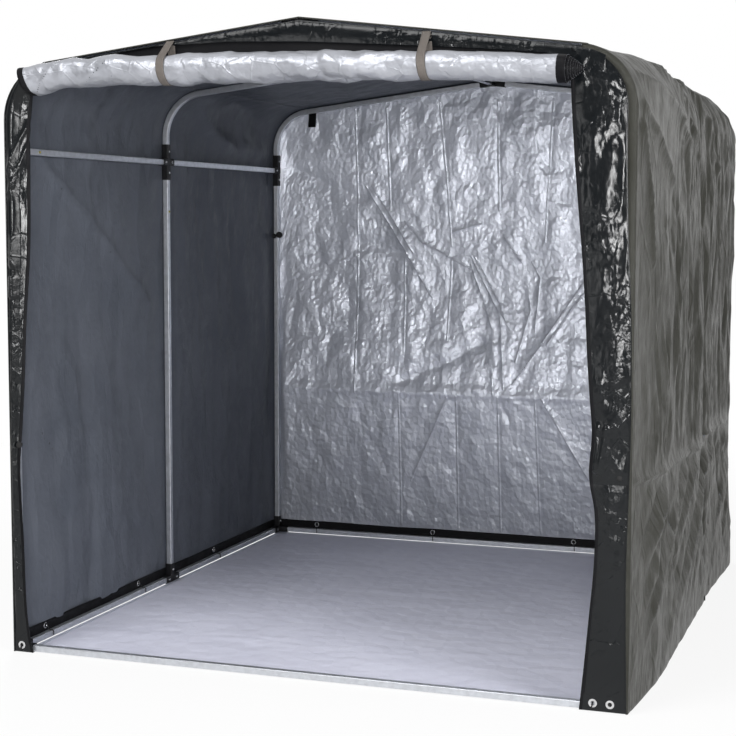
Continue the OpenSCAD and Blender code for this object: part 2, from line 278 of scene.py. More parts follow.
class Fittings:
    """Small turned and bent pieces, gathered into one mesh."""

    def __init__(self):
        self.verts, self.faces, self.marks = [], [], []

    def add(self, grid, mark, closed):
        """Quads over a grid of points, wrapped round its columns, and round its rows where they are closed."""
        rows, cols = grid.shape[:2]
        i, j = np.meshgrid(np.arange(rows - (not closed)), np.arange(cols), indexing="ij")
        at = lambda a, b: (a % rows) * cols + b % cols
        quads = np.stack([at(i, j), at(i + 1, j), at(i + 1, j + 1), at(i, j + 1)], axis=2).reshape(-1, 4)
        start = sum(len(v) for v in self.verts)
        self.verts.append(grid.reshape(-1, 3))
        self.faces.append(quads + start)
        self.marks.append(np.full(len(quads), mark))

    def turned(self, profile, place, axis, mark=0, sides=20, closed=False):
        """Round piece: profile of (radius, height) points about an axis through a place."""
        axis = Vector(axis).normalized()
        side = axis.orthogonal().normalized()
        other = axis.cross(side)
        radius, height = (np.array(p, float)[:, None, None] for p in zip(*profile))
        ring = circle(sides, np.array(side), np.array(other))
        self.add(np.array(place) + radius * ring + height * np.array(axis), mark, closed)

    def ring(self, place, axis, radius, thickness, sides=28, squash=1.0):
        profile = [(radius - thickness * math.cos(a), squash * thickness * math.sin(a)) for a in around(10)]
        self.turned(profile, place, axis, sides=sides, closed=True)

    def bent(self, path, radius, sides=8):
        """Round cord or wire along a path, with rounded ends."""
        path = np.asarray(path, float)
        along = np.gradient(path, axis=0)
        along /= np.linalg.norm(along, axis=1, keepdims=True)
        side = np.cross(along, np.array(Vector(along[0]).orthogonal()))
        side = np.where(np.linalg.norm(side, axis=1, keepdims=True) < 0.2, np.cross(along, (0.3, 0.5, 0.8)), side)
        side /= np.linalg.norm(side, axis=1, keepdims=True)
        other = np.cross(side, along)
        ring = circle(sides, side[:, None], other[:, None])
        body = path[:, None] + radius * ring
        ends = [path[[i]] + d * radius * 0.6 * along[[i]] for i, d in ((0, -1), (-1, 1))]
        caps = [np.repeat(e[:, None], sides, axis=1) + 0.05 * radius * ring[[i]] for e, i in zip(ends, (0, -1))]
        self.add(np.concatenate([caps[0], body, caps[1]]), 0, False)

    def build(self, name, materials):
        return mesh_piece(name, np.concatenate(self.verts), np.concatenate(self.faces),
                          np.concatenate(self.marks), materials)


def soft_path(points, count):
    """Smooth path through a few points."""
    points = np.asarray(points, float)
    step = np.concatenate([[0], np.cumsum(np.linalg.norm(np.diff(points, axis=0), axis=1))])
    place = np.linspace(0, step[-1], count)
    return np.stack([curve(place, list(zip(step, points[:, k]))) for k in range(3)], axis=1)


def place_piece(obj, slot, *nodes):
    """Sets a piece on the frame, in the place of the nodes that it stands for."""
    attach(obj, "root")
    if nodes:
        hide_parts(*nodes)
    return obj


# Materials

# Sizes of faint marks, scuffs and woven tapes, and the period of a wave texture at scale 1
MARK_SIZE, SCUFF_SIZE, TAPE_PITCH, WAVE_PERIOD = 0.22, 0.05, 0.0022, 0.314


def add_node(tree, kind, inputs=None, **settings):
    item = tree.nodes.new("ShaderNode" + kind)
    for key, value in settings.items():
        setattr(item, key, value)
    for key, value in (inputs or {}).items():
        if isinstance(value, bpy.types.NodeSocket):
            tree.links.new(value, item.inputs[key])
        else:
            item.inputs[key].default_value = value
    return item


def blotches(tree, coords, size, detail, stretch=(1, 1, 1)):
    """Noise with features of a size in metres, stretched along an axis."""
    scaled = add_node(tree, "Mapping", {"Vector": coords, "Scale": [1 / (size * s) for s in stretch]})
    return add_node(tree, "TexNoise",
                    {"Vector": scaled.outputs["Vector"], "Scale": 1.0, "Detail": detail}).outputs["Fac"]


def spread(tree, value, start, end, low_value, high_value):
    return add_node(tree, "MapRange", {"Value": value, "From Min": start, "From Max": end,
                                       "To Min": low_value, "To Max": high_value}).outputs["Result"]


def blend_color(tree, share, first, second):
    mix = add_node(tree, "Mix", {"Factor": share, "A": (*first, 1), "B": (*second, 1)}, data_type="RGBA")
    return mix.outputs["Result"]


def bump(tree, height, distance, strength=1.0, under=None):
    inputs = {"Height": height, "Distance": distance, "Strength": strength}
    if under is not None:
        inputs["Normal"] = under
    return add_node(tree, "Bump", inputs).outputs["Normal"]


def math_node(tree, operation, first, second):
    return add_node(tree, "Math", {0: first, 1: second}, operation=operation).outputs["Value"]


def vector_node(tree, operation, inputs, output="Vector"):
    return add_node(tree, "VectorMath", inputs, operation=operation).outputs[output]


def feed(tree, shader, **sockets):
    for key, value in sockets.items():
        tree.links.new(value, shader.inputs[key.replace("_", " ")])


def weave(tree, uv, pitch):
    """Height of a plain weave of flat tapes, a pitch apart."""
    waves = [add_node(tree, "TexWave", {"Vector": uv, "Scale": WAVE_PERIOD / pitch}, bands_direction=d)
             for d in ("X", "Y")]
    return math_node(tree, "ADD", *(wave.outputs["Fac"] for wave in waves))


def start_material(name, **sockets):
    item = bpy.data.materials.new(name)
    item.use_nodes = True
    shader = item.node_tree.nodes["Principled BSDF"]
    for key, value in sockets.items():
        shader.inputs[key.replace("_", " ")].default_value = value
    coords = add_node(item.node_tree, "TexCoord")
    return item, item.node_tree, shader, coords


def cells(tree, coords, size, stretch, shift, feature="F1"):
    """Distance in cells about a size across, drawn out along the sheet's rows."""
    place = add_node(tree, "Mapping", {"Vector": coords, "Location": (shift, shift, 0),
                                       "Scale": (1 / size, 1 / (size * stretch), 1)})
    return add_node(tree, "TexVoronoi", {"Vector": place.outputs["Vector"], "Scale": 1.0},
                    voronoi_dimensions="2D", feature=feature).outputs["Distance"]


def facets(tree, coords, size, stretch):
    """Height of flat facets about a size across, as in crumpled foil."""
    squares = [math_node(tree, "POWER", cells(tree, coords, size, stretch, shift), 2.0) for shift in (0, 7.3)]
    return math_node(tree, "SUBTRACT", *squares)


def thin_folds(tree, coords, size, stretch, width):
    """Height of thin straight folds about a size apart."""
    return spread(tree, cells(tree, coords, size, stretch, 3.1, "DISTANCE_TO_EDGE"), 0, width / size, 1, 0)


def drawn_folds(tree, coords, lines, width):
    """Height of thin folds along lines of (x, height) points."""
    flat = add_node(tree, "Mapping", {"Vector": coords, "Scale": (1, 0, 1)}).outputs["Vector"]
    near = 1.0
    for points in lines:
        for (x0, z0), (x1, z1) in zip(points, points[1:]):
            run = Vector((x1 - x0, 0, z1 - z0))
            past = vector_node(tree, "SUBTRACT", {0: flat, 1: (x0, 0, z0)})
            share = vector_node(tree, "DOT_PRODUCT", {0: past, 1: run / run.length_squared}, "Value")
            held = add_node(tree, "Clamp", {"Value": share}).outputs["Result"]
            foot = vector_node(tree, "SCALE", {0: run, "Scale": held})
            near = math_node(tree, "MINIMUM", vector_node(tree, "DISTANCE", {0: past, 1: foot}, "Value"), near)
    return spread(tree, near, 0, width, 1, 0)


def tarpaulin(name, dark, pale, rough, crinkles, weave_depth, metal=0.0, specular=0.5, folds=(), patch=None, lines=(),
              painted_shades=()):
    """Coated woven sheet with faint marks, crinkles of (size, slope, stretch) in patches of a size, folds of
    (size, stretch, width, slope), folds along lines, and painted shade that darkens its colour to a share below a
    height, for each (low, high, share)."""
    item, tree, shader, coords = start_material(name, Metallic=metal, Specular_IOR_Level=specular)
    place, uv = coords.outputs["Object"], coords.outputs["UV"]
    marks = blotches(tree, place, MARK_SIZE, 4.0)
    color = blend_color(tree, spread(tree, marks, 0.3, 0.7, 0, 1), dark, pale)
    height = add_node(tree, "SeparateXYZ", {0: place}).outputs["Z"] if painted_shades else None
    # Painted shade: the colour is darkened to a share below each height
    for low_z, high_z, tone in painted_shades:
        color = add_node(tree, "HueSaturation",
                         {"Color": color, "Value": spread(tree, height, low_z, high_z, tone, 1)}).outputs["Color"]
    scuffs = blotches(tree, place, SCUFF_SIZE, 3.0)
    normal = bump(tree, weave(tree, uv, TAPE_PITCH), weave_depth, 0.35)
    share = spread(tree, blotches(tree, place, patch, 2.0, (1, 1, 1.6)), 0.44, 0.60, 0.12, 1.0) if patch else 1.0
    for size, slope, stretch in crinkles:
        normal = bump(tree, facets(tree, uv, size, stretch), size * slope, share, normal)
    for size, stretch, width, slope in folds:
        here = spread(tree, blotches(tree, place, 1.3 * size, 1.0), 0.42, 0.58, 0.0, 1.0)
        normal = bump(tree, thin_folds(tree, uv, size, stretch, width), width * slope, here, normal)
    if lines:
        normal = bump(tree, drawn_folds(tree, place, lines, FOLD_LINE_W), 0.32 * FOLD_LINE_W, 1.0, normal)
    feed(tree, shader, Base_Color=color, Roughness=spread(tree, scuffs, 0.3, 0.7, *rough), Normal=normal)
    return item


def plain_material(name, color, shares, tone, rough, depth, **sockets):
    """Material between two shares of a colour. The tone is (size, detail, start, end) of its stains, or of a weave
    where the detail is None, and rough is (size, detail, low, high) of its grain. The weave or grain is depth high."""
    item, tree, shader, coords = start_material(name, **sockets)
    place, uv = coords.outputs["Object"], coords.outputs["UV"]
    size, detail, *ends = tone
    stains = blotches(tree, place, size, detail) if detail else weave(tree, uv, size)
    grain = blotches(tree, place, *rough[:2])
    first, second = (tuple(share * c for c in color) for share in shares)
    feed(tree, shader, Base_Color=blend_color(tree, spread(tree, stains, *ends, 0, 1), first, second),
         Roughness=spread(tree, grain, 0.3, 0.7, *rough[2:]))
    if depth:
        feed(tree, shader, Normal=bump(tree, grain if detail else stains, depth))
    return item


BACK_FOLD_Z, BACK_LEAN, FOLD_LINE_W = 0.687, 0.065, 0.006
# Folds of the back wall, as (x, height) points: packing folds, slack and the bundle of folds at the right
BACK_PACKS = [[(-0.65, 1.97), (-0.64, 1.64), (-0.63, 0.68)], [(-0.50, 1.97), (-0.48, 1.51)],
              [(-0.25, 1.99), (-0.21, 1.62), (-0.19, 1.35)], [(0.02, 1.99), (0.03, 1.51)], [(0.27, 1.99), (0.24, 1.37)],
              [(0.60, 1.95), (0.60, 0.70)], [(-0.41, 1.29), (-0.40, 0.86)], [(-0.19, 1.28), (-0.20, 0.93)],
              [(-0.148, 0.68), (-0.148, 0.07)], [(0.045, 0.68), (0.05, 0.07)], [(0.215, 0.68), (0.235, 0.07)],
              [(-0.42, 0.68), (-0.42, 0.07)], [(0.52, 0.68), (0.52, 0.07)]]
BACK_FOLDS = [[(-0.60, 1.62), (-0.48, 1.44), (-0.39, 1.30), (-0.28, 1.12)],
              [(-0.57, 1.62), (-0.46, 1.46), (-0.37, 1.32)],
              [(-0.41, 1.46), (-0.32, 1.36), (-0.10, 1.25)], [(-0.10, 1.27), (0.01, 0.98), (0.02, 0.70)],
              [(-0.10, 1.31), (0.01, 1.10), (0.09, 0.98)], [(-0.08, 1.30), (0.04, 1.08), (0.07, 0.72)],
              [(0.16, 1.18), (0.18, 1.07), (0.12, 0.84)], [(0.18, 1.28), (0.22, 1.21), (0.20, 0.95)],
              [(0.50, 1.32), (0.24, 0.93)], [(0.53, 1.32), (0.26, 0.92)], [(0.23, 0.91), (0.11, 0.74)],
              [(-0.19, 1.41), (-0.05, 1.45)], [(0.05, 1.40), (0.13, 1.28)], [(-0.191, 0.67), (-0.37, 0.28)],
              [(0.247, 0.68), (0.454, 0.33)]]
BACK_SAGS = [[(-1.0, 1.72), (-0.79, 1.63), (-0.56, 1.54)], [(-0.66, 1.38), (-0.51, 1.33), (-0.40, 1.32)],
             [(-0.45, 0.72), (-0.19, 0.83), (0.0, 0.94)]]

OUTER = tarpaulin("tarpaulin_outside", (0.026, 0.026, 0.0215), (0.038, 0.038, 0.033), (0.29, 0.41),
                  [(0.08, 0.09, 2.0), (0.022, 0.06, 1.6)], 0.0004, specular=0.10,
                  folds=[(0.16, 2.2, 0.007, 0.35)])
# Lining of the side walls, roof and front strips: a dark copy of the silver lining, painted shade for inside walls that
# the light barely reaches
SHADED_LINING = tarpaulin("tarpaulin_lining", (0.076, 0.085, 0.104), (0.095, 0.104, 0.125), (0.42, 0.56),
                  [(0.08, 0.06, 2.0), (0.016, 0.04, 1.5)], 0.0003, specular=0.2)
GLOSS = tarpaulin("tarpaulin_front", (0.004, 0.005, 0.006), (0.007, 0.008, 0.009), (0.11, 0.20),
                  [(0.018, 0.10, 1.6), (0.006, 0.04, 1.2)], 0.0001, specular=0.29,
                  folds=[(0.05, 1.5, 0.003, 0.2)], patch=0.10)
# Silver lining of the back wall with painted shade: darkened to 0.6 below the packing fold and to 0.85 below 1.25 m,
# full above 1.8 m, so the top reads as painted light
SILVER = tarpaulin("silver_lining", (0.68, 0.71, 0.79), (0.82, 0.85, 0.94), (0.32, 0.44),
                   [(0.055, 0.06, 1.4), (0.019, 0.08, 1.2)], 0.0002, 0.45, lines=BACK_PACKS + BACK_FOLDS,
                   painted_shades=[(0.12, BACK_FOLD_Z + 0.05, 0.60), (1.25, 1.8, 0.85)])
ROLLED = tarpaulin("silver_door", (0.305, 0.315, 0.345), (0.37, 0.38, 0.415), (0.34, 0.46),
                   [(0.035, 0.05, 1.0), (0.012, 0.04, 1.0)], 0.0001, 0.5, folds=[(0.09, 0.7, 0.004, 0.2)])
GROUND = tarpaulin("floor_sheet", (0.73, 0.74, 0.87), (0.80, 0.81, 0.94), (0.35, 0.5),
                   [(0.06, 0.025, 1.0)], 0.0002, specular=0.4)
HEM = tarpaulin("black_hem", (0.004, 0.004, 0.005), (0.008, 0.008, 0.009), (0.45, 0.65),
                [(0.02, 0.015, 1.0)], 0.00005, specular=0.1)
TUBE = plain_material("galvanised_tube", (0.62, 0.64, 0.68), (0.86, 1), (0.02, 4.0, 0.35, 0.65),
                      (0.006, 3.0, 0.32, 0.46), 0.00004, Metallic=0.85)
PLASTIC = plain_material("black_plastic", (0.004, 0.004, 0.005), (1, 1.7), (0.03, 3.0, 0.4, 0.8),
                         (0.0012, 2.0, 0.38, 0.55), 0.0001, Specular_IOR_Level=0.3)
WEBBING, ELASTIC = (plain_material(name, color, (0.55, 1), (0.0024, None, 0.4, 1.6), (0.003, 3.0, 0.7, 0.95), 0.0005)
                    for name, color in (("taupe_webbing", (0.16, 0.14, 0.125)),
                                        ("black_elastic", (0.014, 0.014, 0.015))))
PLATED, BRASS = (plain_material(name, color, (0.7, 1), (0.008, 4.0, 0.3, 0.7), (0.008, 4.0, 0.34, 0.2), 0, Metallic=1.0)
                 for name, color in (("plated_eyelet", (0.78, 0.78, 0.79)), ("yellow_zinc", (0.62, 0.55, 0.16))))

SLOT_LOOKS = {"frame_tube": TUBE, "connector": PLASTIC, "eyelet": PLATED}
for part in frame["record"]["subparts"]:
    if part["material_slot"] in SLOT_LOOKS:
        looks = cad_nodes[part["node"]].data.materials
        looks.clear()
        looks.append(SLOT_LOOKS[part["material_slot"]])


# Cover: two sides with their eaves, the roof, the back wall and the front strips

def cover_line(girth):
    """Right half of the cover's cross-section: x, z and the outward normal at a girth from the ground."""
    turn = np.clip((girth - BEND_Z) / BEND_R, 0, math.pi / 2 - ROOF_PITCH)
    past = np.maximum(girth - SEAM_GIRTH, 0)
    nx, nz = np.cos(turn), np.sin(turn)
    x = np.where(girth < BEND_Z, HALF_W, BEND_X + BEND_R * nx) - past * math.cos(ROOF_PITCH)
    z = np.where(girth < BEND_Z, girth, BEND_Z + BEND_R * nz) + past * math.sin(ROOF_PITCH)
    return x, z, nx, nz


def bend_z(x, radius):
    """Height of a bend of a radius about the eave's axis."""
    return BEND_Z + np.sqrt(np.maximum(radius ** 2 - np.maximum(np.abs(x) - BEND_X, 0) ** 2, 0))


def roof_z(x):
    """Height of the cover's outside line over a place across the front."""
    x = np.abs(x)
    return np.where(x < SEAM_X, RIDGE_Z - x * math.tan(ROOF_PITCH), bend_z(x, BEND_R))


CORNER_STEPS, CORNER_R = 5, 0.011


def canopy_grid(side, girth, columns, seam, rear_r, bulge):
    """Cover over the arches: girth by depth, over the front edge to its seam and over the rear edge, with folds."""
    x, z, nx, nz = (a[:, None] for a in cover_line(girth))
    mid = CLOTH_T / 2
    turn = np.linspace(0, math.pi / 2, CORNER_STEPS, endpoint=False)
    t = np.linspace(0, 1, columns)
    seam, rear_r = (np.broadcast_to(r, girth.shape)[:, None] for r in (seam, rear_r))
    front_r = np.minimum(seam - 0.002, CORNER_R)
    y_first, y_last = FRONT_Y + front_r, BACK_Y - rear_r
    y = np.concatenate([np.full(seam.shape, FRONT_Y), FRONT_Y + front_r * (1 - np.cos(turn)),
                        y_first + t * (y_last - y_first), BACK_Y - rear_r * (1 - np.cos(turn[::-1]))], axis=1)
    inset = np.concatenate([seam, front_r * (1 - np.sin(turn)), np.zeros((len(girth), columns)),
                            rear_r * (1 - np.sin(turn[::-1]))], axis=1)
    out = bulge(y, np.broadcast_to(girth[:, None], y.shape)) - inset - mid
    grid = points_at(side * (x + out * nx), y, z + out * nz)
    return grid[:, ::-1] if side > 0 else grid


# How far a fold may go inward at a tube and between the tubes, and the share of a deeper fold that is left
HELD_DIP, FREE_DIP, DIP_SHARE = 0.0006, 0.045, 0.04


def clear_of_frame(out, y, girth):
    """Folds go inward between the tubes, and are flattened against the posts, the rail and the ground bar."""
    to_post = np.min([np.abs(y - arch) for arch in ARCH_Y], axis=0)
    to_rail = np.abs(girth - RAIL_Z)
    free = smooth((to_post - 0.03) / 0.12) * smooth((to_rail - 0.03) / 0.08) * smooth((girth - 0.05) / 0.08)
    limit = HELD_DIP + FREE_DIP * free
    return np.where(out < -limit, -limit + DIP_SHARE * (out + limit), out)


def edge_hold(y, width):
    """Share of the folds that is left near the front and rear edges, which are sewn."""
    return smooth((y - FRONT_Y - 0.01) / width) * smooth((BACK_Y - 0.01 - y) / width)


def side_hold(y, girth):
    return edge_hold(y, 0.05) * smooth((SEAM_GIRTH - girth) / 0.12)


def right_bulge(y, girth):
    """Fine hanging folds above a packing fold, slanting slack below it, and a plain strip turned to the front."""
    fold_z = 0.692 - 0.042 * (y - FRONT_Y) + 0.035 * smooth((y - 0.22) / 0.08)
    above = smooth((girth - fold_z) / 0.05)
    calm = smooth((y - FRONT_Y - 0.06 - 0.40 * smooth((girth - 1.25) / 0.4)) / 0.3)
    bent = y + 0.05 * noise(y / 0.2, girth / 0.35, 16)
    streaks = 0.0032 * pleats(y, girth, 0.045, 11, 0.7, 9) + 0.65 * foil(bent, girth, 0.050, 15, 7.0)
    slack = 0.56 * foil(girth - 0.7 * y, y, 0.10, 17, 5.0) + 0.16 * foil(bent, girth, 0.06, 18, 5.0)
    broad = 0.008 * pleats(y, girth, 0.22, 12, 0.6, 4) + 0.008 * noise(y / 0.5, girth / 0.7, 13)
    slant = 0.008 * pleats(y + 0.8 * (girth - 1.8), girth, 0.10, 14, 0.5, 6) * smooth((girth - 1.25) / 0.5)
    foot = 0.15 + 0.85 * smooth((girth - 0.01) / 0.3)
    pressed = 1 - 0.85 * hump(girth - fold_z, 0.05)
    out = (streaks * above + slack * (1 - above)) * (0.15 + 0.85 * calm) * pressed + broad + slant * calm
    under = smooth((fold_z - girth) / 0.012) * peak(np.maximum(fold_z - girth, 0), 0.08)
    ridge = 0.013 * peak(girth - fold_z, 0.016) * smooth((BACK_Y - 0.06 - y) / 0.3)
    out = out + ridge - 0.012 * under
    out = out + 0.014 * (creases(y, girth, RIGHT_FOLDS, 0.020) - creases(y, girth, RIGHT_PACKS, 0.020))
    flare = 0.020 * smooth((y - 0.6) / 0.6) * smooth((0.5 - girth) / 0.5)
    return clear_of_frame((out * foot + ramp(y, RIGHT_STAND)) * side_hold(y, girth) + flare, y, girth)


def left_bulge(y, girth):
    soft = 0.010 * noise(y / 0.55, girth / 0.8, 21)
    streaks = 0.004 * pleats(y, girth, 0.10, 22, 0.6, 9) + 0.006 * pleats(y, girth, 0.24, 23, 0.6, 6)
    out = soft + streaks + 0.12 * foil(y, girth, 0.16, 25, 1.8) + 0.004
    out = out - 0.018 * crease(y, girth, LEFT_SLANT, 0.018, 0.05)
    lean = ramp(y, LEFT_SLANT) - girth
    out = out + 0.020 * smooth(lean / 0.3) * smooth((0.9 - lean) / 0.5) * smooth((0.05 - y) / 0.3)
    out = out + 0.006 * creases(y, girth, LEFT_FOLDS, 0.012)
    out = out + 0.006 * star(y, girth, (-1.02, 0.80), 9, 0.4, 0.014, 24)
    out = out + sum(depth * crease(y, girth, points, 0.06, 0.3) for points, depth in LEFT_DRAPES)
    return clear_of_frame(out * side_hold(y, girth), y, girth)


# Folds of the side walls, as (depth, height) points: fans from the front eave, packing folds and slack
RIGHT_FOLDS = [[(-1.13, 1.82), (-0.9, 1.72), (-0.6, 1.56)], [(-1.10, 1.90), (-0.6, 1.82), (-0.12, 1.70)],
               [(-1.12, 1.78), (-0.98, 1.55), (-0.90, 1.30)], [(-0.7, 1.96), (-0.3, 1.86), (0.05, 1.66)],
               [(-0.2, 1.97), (0.2, 1.85), (0.55, 1.60)]]
RIGHT_PACKS = [[(0.10, 1.75), (0.20, 1.10), (0.36, 0.05)], [(-0.62, 0.66), (-0.58, 0.55), (-0.34, 0.23)],
               [(0.70, 0.62), (0.82, 0.35), (0.98, 0.05)]]
RIGHT_STAND = [(FRONT_Y, 0), (-0.75, 0.026), (0, 0.016), (BACK_Y, 0.003)]
LEFT_SLANT = [(-0.99, 1.71), (-0.78, 1.58), (-0.5, 1.41), (-0.08, 1.11)]
LEFT_FOLDS = [[(-0.68, 1.59), (-0.60, 1.67)], [(-0.57, 1.57), (-0.53, 1.66)], [(-0.41, 1.60), (-0.40, 1.67)],
              [(-0.39, 1.47), (-0.32, 1.51), (-0.31, 1.58)], [(-0.95, 0.80), (-0.5, 0.70), (-0.1, 0.64)],
              [(-0.60, 0.70), (-0.57, 0.20)], [(0.30, 1.6), (0.42, 1.2)], [(0.62, 1.62), (0.70, 1.1)]]
LEFT_DRAPES = [([(0.12, 2.02), (0.38, 1.86), (0.80, 1.70)], -0.045), ([(0.66, 1.80), (1.10, 1.76)], -0.022),
               ([(0.40, 2.02), (0.75, 1.93), (1.12, 1.84)], 0.035),
               ([(-0.95, 1.86), (-0.6, 1.92), (-0.2, 1.88)], -0.02)]

RIGHT_SEAM = [(0, 0.006), (0.41, 0.014), (0.83, 0.006), (1.15, 0.009), (1.49, 0.024), (1.8, 0.028), (2.1, 0.016)]
ROOF_SEAM = 0.004
LEFT_SEAM = [(0, 0.006), (0.6, 0.005), (1.4, 0.004), (1.8, 0.004), (2.1, 0.008)]
REAR_R, FOOT_Z = 0.009, 0.001


def side_cover(name, side, seam, bulge, *nodes):
    columns, rows = GRID[name]
    girth = np.linspace(FOOT_Z, SEAM_GIRTH, rows)
    grid = canopy_grid(side, girth, columns, curve(girth, seam), REAR_R, bulge)
    obj = cloth(name, grid, [OUTER, SHADED_LINING])
    place_piece(obj, "cover", *nodes)


side_cover("right_side_cover", 1, RIGHT_SEAM, right_bulge, "right_wall", "right_eave_cover")
side_cover("left_side_cover", -1, LEFT_SEAM, left_bulge, "left_wall", "left_eave_cover")


ROOF_FOLDS = [[(0.22, 2.12), (0.65, 2.26), (1.0, 2.18)], [(0.45, 2.50), (0.80, 2.40), (1.05, 2.30)],
              [(-0.9, 2.30), (-0.5, 2.20), (-0.15, 2.28)]]


def roof_cover():
    """Both slopes in one sheet, lapped over the sides at the eaves."""
    lap, lift = 0.014, 0.0014
    columns, rows = GRID["roof"]
    half = np.linspace(SEAM_GIRTH - lap, SEAM_GIRTH + SEAM_X / math.cos(ROOF_PITCH), rows)
    ridge = half[-1]

    def bulge(y, girth):
        run = (ridge - girth) / (ridge - SEAM_GIRTH)
        bay = (y - ARCH_Y[0]) / (ARCH_Y[1] - ARCH_Y[0])
        rest = np.abs(np.sin(math.pi * np.clip(bay, 0, 2)))
        sag = -0.012 * rest ** 2 * np.sin(math.pi * np.clip(run, 0, 1))
        folds = 0.004 * pleats(y, girth, 0.12, 31) + 0.003 * pleats(girth, y, 0.16, 32)
        folds = folds - 0.014 * creases(y, girth, ROOF_FOLDS, 0.035)
        return (sag + rest * folds * smooth(run / 0.1) * smooth((1 - run) / 0.1)) * edge_hold(y, 0.06) + lift

    sides = [canopy_grid(side, half, columns, ROOF_SEAM, REAR_R, bulge) for side in (-1, 1)]
    right = sides[1][::-1, ::-1]
    obj = cloth("roof_cover", np.concatenate([sides[0][:-1], right]), [OUTER, SHADED_LINING])
    place_piece(obj, "cover", "left_roof", "right_roof")


roof_cover()


def back_cover():
    """Crumpled back wall, shaped to the arch, silver inside."""
    columns, rows = GRID["back"]
    arc = np.linspace(math.pi / 2 - ROOF_PITCH, 0, BEND_STEPS)
    reach = BEND_R - REAR_R
    right = BEND_X + reach * np.cos(arc)
    x = np.concatenate([-right[::-1], np.linspace(-right[0], right[0], columns)[1:-1], right])
    top = np.where(np.abs(x) < right[0], roof_z(x) - REAR_R / math.cos(ROOF_PITCH), bend_z(x, reach))
    z = FOOT_Z + np.linspace(0, 1, rows)[:, None] * (top - FOOT_Z)
    x = np.broadcast_to(x, z.shape)

    above = smooth((z - BACK_FOLD_Z) / 0.05)
    wander = 0.012 * noise(x / 0.06, z / 0.06, 49)
    facets = 0.13 * foil(x + wander, z, 0.16, 44, 1.4) + 0.14 * foil(x + wander, z, 0.07, 45, 1.3)
    folds = 0.005 * pleats(x, z, 0.11, 42, 0.6, 6) + 0.009 * noise(x / 0.5, z / 0.7, 41)
    inward = (facets + folds) * (0.5 + 0.5 * above)
    lean = BACK_LEAN * (z / BACK_FOLD_Z) * (1 - above) + BACK_LEAN * above * smooth((1.3 - z) / 0.7)
    inward = inward + lean + 0.006 * crease(x, z, [(-1.0, BACK_FOLD_Z), (1.0, BACK_FOLD_Z - 0.004)], 0.010)
    inward = (inward - 0.005 * creases(x, z, BACK_PACKS, 0.008) + 0.006 * creases(x, z, BACK_FOLDS, 0.009)
              - 0.014 * creases(x, z, BACK_SAGS, 0.035))
    inward = inward + 0.005 * star(x, z, (0.042, 0.70), 11, 0.22, 0.008, 47)
    inward = inward + 0.005 * star(x, z, (-0.05, 1.43), 9, 0.20, 0.009, 48)

    near_post = np.abs(np.abs(x) - POST_X) / 0.05
    near_roof = (roof_z(x) - COVER_T - 2 * TUBE_HALF - z) / 0.05
    near_bar = (z - BAR_Z - TUBE_HALF - 0.02) / 0.05
    free = smooth(np.minimum(np.minimum(near_post, near_roof), near_bar))
    inward = inward * free - 0.004 * free
    y = BACK_Y - CLOTH_T / 2 - np.where(inward > 0, inward, 0.8 * inward) - 0.0002
    obj = cloth("back_cover", points_at(x, y, z), [OUTER, SILVER])
    place_piece(obj, "cover", "back_wall")


back_cover()


# Front flaps: (height, x) along their inner edges
RIGHT_INNER = [(0, 0.902), (0.06, 0.908), (0.28, 0.928), (0.46, 0.942), (0.62, 0.939), (0.69, 0.925), (0.85, 0.930),
               (0.94, 0.922), (1.32, 0.897), (1.67, 0.866), (1.84, 0.855), (2.0, 0.85)]
LEFT_INNER = [(0, 0.972), (0.05, 0.982), (0.39, 1.002), (0.69, 1.011), (0.93, 0.998), (1.1, 0.991), (1.35, 0.975),
              (1.69, 0.968), (1.80, 0.964), (2.0, 0.93)]
BORDER_W, FLAP_FOOT, FLAP_TOP = 0.009, 0.002, ROLL_Z + 0.035


def front_flap(name, side, inner, seam, crinkles, node):
    """Glossy strip beside the doorway, with holes where its eyelets sit."""
    columns, rows = GRID[name]
    z = np.linspace(FLAP_FOOT, FLAP_TOP, rows)[:, None]
    inset = curve(z, seam)
    reach = BEND_R - inset
    outer = np.where(z < BEND_Z, HALF_W - inset,
                     BEND_X + np.sqrt(np.maximum(reach ** 2 - np.maximum(z - BEND_Z, 0) ** 2, 1e-4)))
    t = np.linspace(0, 1, columns)[None, :]
    x = outer + t * (curve(z, inner) - outer)
    calm = smooth((z - 0.06) / 0.14)
    border = BORDER_W / (outer - curve(z, inner))
    plain = smooth((1 - t - border) / 0.08)
    hem_step = 0.0012 * smooth((t - 1 + border) / 0.03)
    toward = crinkles(x, z, t, plain) * smooth(t / 0.12) * calm + hem_step
    y = FRONT_Y + COVER_T / 2 - toward
    grid = points_at(side * x, y, z)
    grid = grid if side > 0 else grid[:, ::-1]
    centre = (grid[:-1, :-1] + grid[1:, 1:]) / 2
    keep = np.ones(centre.shape[:2], bool)
    for mount in frame["record"]["mounts"]:
        if mount["kind"] == "bore":
            away = np.hypot(centre[..., 0] - mount["pos_m"][0], centre[..., 2] - mount["pos_m"][2])
            keep &= away > mount["dims"]["r_mm"] / 1000 + 0.003
    bound = (t > 1 - border)[1:, 1:]
    bound = bound if side > 0 else bound[:, ::-1]
    obj = cloth(name, grid, [GLOSS, SHADED_LINING, HEM], FLAP_T, keep, np.where(bound, 2, 0))
    return place_piece(obj, "cover", node)


